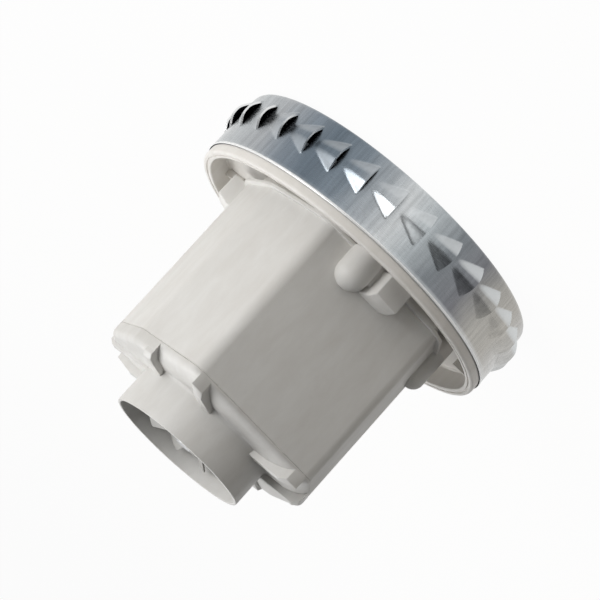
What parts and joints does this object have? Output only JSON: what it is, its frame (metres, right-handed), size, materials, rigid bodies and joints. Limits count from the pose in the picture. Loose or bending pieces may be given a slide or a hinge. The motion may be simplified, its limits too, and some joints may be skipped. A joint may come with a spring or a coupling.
{
  "type": "vacuum motor unit",
  "caption": "Vacuum cleaner motor unit: louvred sheet metal fan drum, white plastic bracket ring, octagonal grey plastic motor hood and a rear cover with a round cooling-air tube.",
  "frame": {"origin": "centre of the suction face, in the plane of the drum's closed side", "axes": "+Z along the shaft from the suction face to the tube's mouth; +X to the hood's short end, +Y to its long side with the terminals"},
  "size_m": [0.1508, 0.1508, 0.1295],
  "materials": {
    "drum_sheet": "bright galvanised sheet, brushed along the shaft",
    "ring_plastic": "satin white moulding",
    "hood_plastic": "satin light grey moulding",
    "cover_plastic": "satin light grey moulding",
    "fan_plastic": "satin grey moulding",
    "lamination": "stacked electrical steel",
    "winding": "enamelled copper wire",
    "commutator_copper": "turned copper bars",
    "holder_brass": "folded sheet",
    "carbon": "pressed carbon",
    "bright_steel": "ground steel",
    "screw_steel": "zinc plated",
    "impeller_sheet": "rolled sheet",
    "sleeve_rubber": "moulded rubber"
  },
  "bodies": {
    "housing": {"fan_housing": "drum_sheet", "bracket_ring": "ring_plastic", "hood_screws": "screw_steel", "motor_hood": "hood_plastic", "rear_cover": "cover_plastic", "stator_core": "lamination", "field_coil_left": "winding", "field_coil_right": "winding", "stator_screws": "screw_steel", "brush_holder_front": "holder_brass", "brush_holder_back": "holder_brass", "brush_spring_front": "bright_steel", "brush_spring_back": "bright_steel", "terminal_tabs": "holder_brass", "front_bearing_outer": "bright_steel", "rear_bearing_outer": "bright_steel", "rear_bearing_sleeve": "sleeve_rubber"},
    "rotor": {"shaft": "bright_steel", "rotor_core": "lamination", "armature_winding": "winding", "commutator": "commutator_copper", "shaft_spacer": "bright_steel", "impeller_back_plate": "impeller_sheet", "impeller_front_plate": "impeller_sheet", "impeller_blades": "impeller_sheet", "impeller_washers": "screw_steel", "impeller_nut": "screw_steel", "cooling_fan": "fan_plastic", "front_bearing_inner": "bright_steel", "rear_bearing_inner": "bright_steel"},
    "front_balls": {"front_bearing_balls": "bright_steel"},
    "rear_balls": {"rear_bearing_balls": "bright_steel"},
    "front_brush": {"brush_front": "carbon"},
    "back_brush": {"brush_back": "carbon"}
  },
  "joints": [
    {"name": "rotor_spin", "type": "hinge", "parent": "housing", "child": "rotor", "pos_m": [0, 0, 0.06], "axis": [0, 0, 1], "continuous": true},
    {"name": "front_cage_spin", "type": "hinge", "parent": "housing", "child": "front_balls", "pos_m": [0, 0, 0.026], "axis": [0, 0, 1], "continuous": true},
    {"name": "rear_cage_spin", "type": "hinge", "parent": "housing", "child": "rear_balls", "pos_m": [0, 0, 0.1105], "axis": [0, 0, 1], "continuous": true},
    {"name": "front_brush_slide", "type": "slide", "parent": "housing", "child": "front_brush", "axis": [0, -1, 0], "range_m": [0, 0.003], "stiffness_N_per_m": 150, "springref_m": -0.004, "deforming": ["brush_spring_front"]},
    {"name": "back_brush_slide", "type": "slide", "parent": "housing", "child": "back_brush", "axis": [0, 1, 0], "range_m": [0, 0.003], "stiffness_N_per_m": 150, "springref_m": -0.004, "deforming": ["brush_spring_back"]}
  ],
  "couplings": [
    {"joint": "front_cage_spin", "follows": "rotor_spin", "ratio": 0.368},
    {"joint": "rear_cage_spin", "follows": "rotor_spin", "ratio": 0.368}
  ]
}
